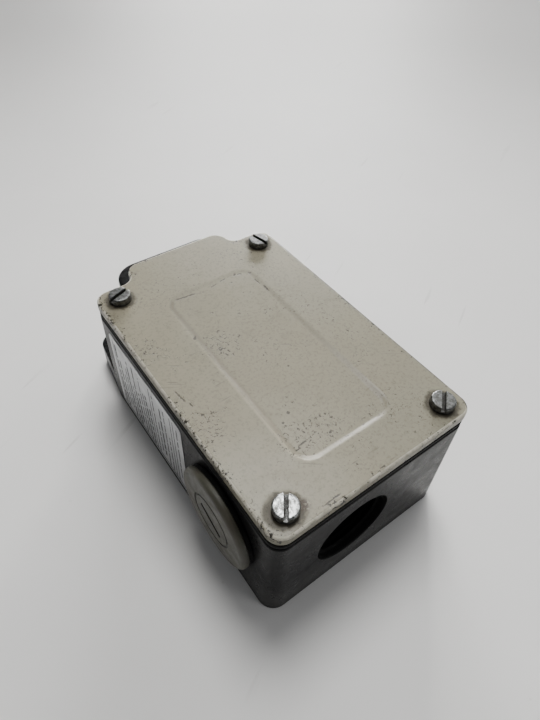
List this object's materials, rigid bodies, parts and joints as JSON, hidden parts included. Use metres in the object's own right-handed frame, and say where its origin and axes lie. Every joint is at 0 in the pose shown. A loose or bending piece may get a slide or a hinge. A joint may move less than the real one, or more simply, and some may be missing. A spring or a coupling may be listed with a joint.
{
  "type": "limit switch",
  "caption": "Metal-enclosed limit switch with a sprung plunger, screwed cover, threaded cable entries and an internal contact block with a sliding carrier.",
  "frame": {"origin": "in the plane of the mounting face, below the middle of the overall length and width", "axes": "+Z out through the cover, +Y along the length towards the plunger, +X to the right when looking along +Y"},
  "size_m": [0.0612, 0.103, 0.0403],
  "materials": {
    "black_paint": "gloss black stove enamel on die-cast metal, worn at the edges",
    "cream_paint": "semi-gloss cream paint with small chips and stains",
    "rubber": "matt black rubber",
    "zinc_steel": "zinc-plated steel, dull and slightly stained",
    "plug_plastic": "grey-beige moulded plastic",
    "label_foil": null,
    "steel": "ground and polished steel",
    "brass": "turned or stamped brass",
    "spring_steel": "bright spring wire",
    "block_plastic": "black glass-filled moulding",
    "lid_plastic": "grey moulding",
    "carrier_plastic": "red moulding"
  },
  "bodies": {
    "enclosure": {"housing": "black_paint", "cover": "cream_paint", "cover_gasket": "rubber", "cover_screws": "zinc_steel", "left_blanking_plug": "plug_plastic", "left_plug_seal": "rubber", "right_blanking_plug": "plug_plastic", "right_plug_seal": "rubber", "rating_label": "label_foil", "plunger_bush": "brass", "plunger_seal": "rubber", "plunger_spring": "spring_steel", "contact_block_base": "block_plastic", "contact_block_lid": "lid_plastic", "carrier_spring": "spring_steel", "break_terminal_left": "brass", "break_terminal_right": "brass", "make_terminal_left": "brass", "make_terminal_right": "brass", "terminal_clamps": "zinc_steel", "terminal_screws": "zinc_steel", "contact_block_screws": "zinc_steel", "earth_clamp": "brass", "earth_screw": "zinc_steel"},
    "plunger": {"plunger": "steel"},
    "contact_carrier": {"contact_carrier": "carrier_plastic", "break_contact_spring": "spring_steel", "make_contact_spring": "spring_steel"},
    "break_bridge": {"break_bridge": "brass"},
    "make_bridge": {"make_bridge": "brass"}
  },
  "joints": [
    {"name": "plunger_slide", "type": "slide", "parent": "enclosure", "child": "plunger", "axis": [0, -1, 0], "range_m": [0, 0.005], "stiffness_N_per_m": 1500, "springref_m": -0.004, "deforming": ["plunger_spring"]},
    {"name": "carrier_slide", "type": "slide", "parent": "enclosure", "child": "contact_carrier", "axis": [0, -1, 0], "range_m": [0, 0.005], "stiffness_N_per_m": 400, "springref_m": -0.002, "deforming": ["carrier_spring"]},
    {"name": "break_bridge_float", "type": "slide", "parent": "contact_carrier", "child": "break_bridge", "axis": [0, -1, 0], "range_m": [0, 0.001], "stiffness_N_per_m": 150, "springref_m": -0.004, "deforming": ["break_contact_spring"]},
    {"name": "make_bridge_float", "type": "slide", "parent": "contact_carrier", "child": "make_bridge", "axis": [0, 1, 0], "range_m": [0, 0.001], "stiffness_N_per_m": 150, "springref_m": -0.004, "deforming": ["make_contact_spring"]}
  ],
  "couplings": [
    {"joint": "carrier_slide", "follows": "plunger_slide", "ratio": 1}
  ]
}
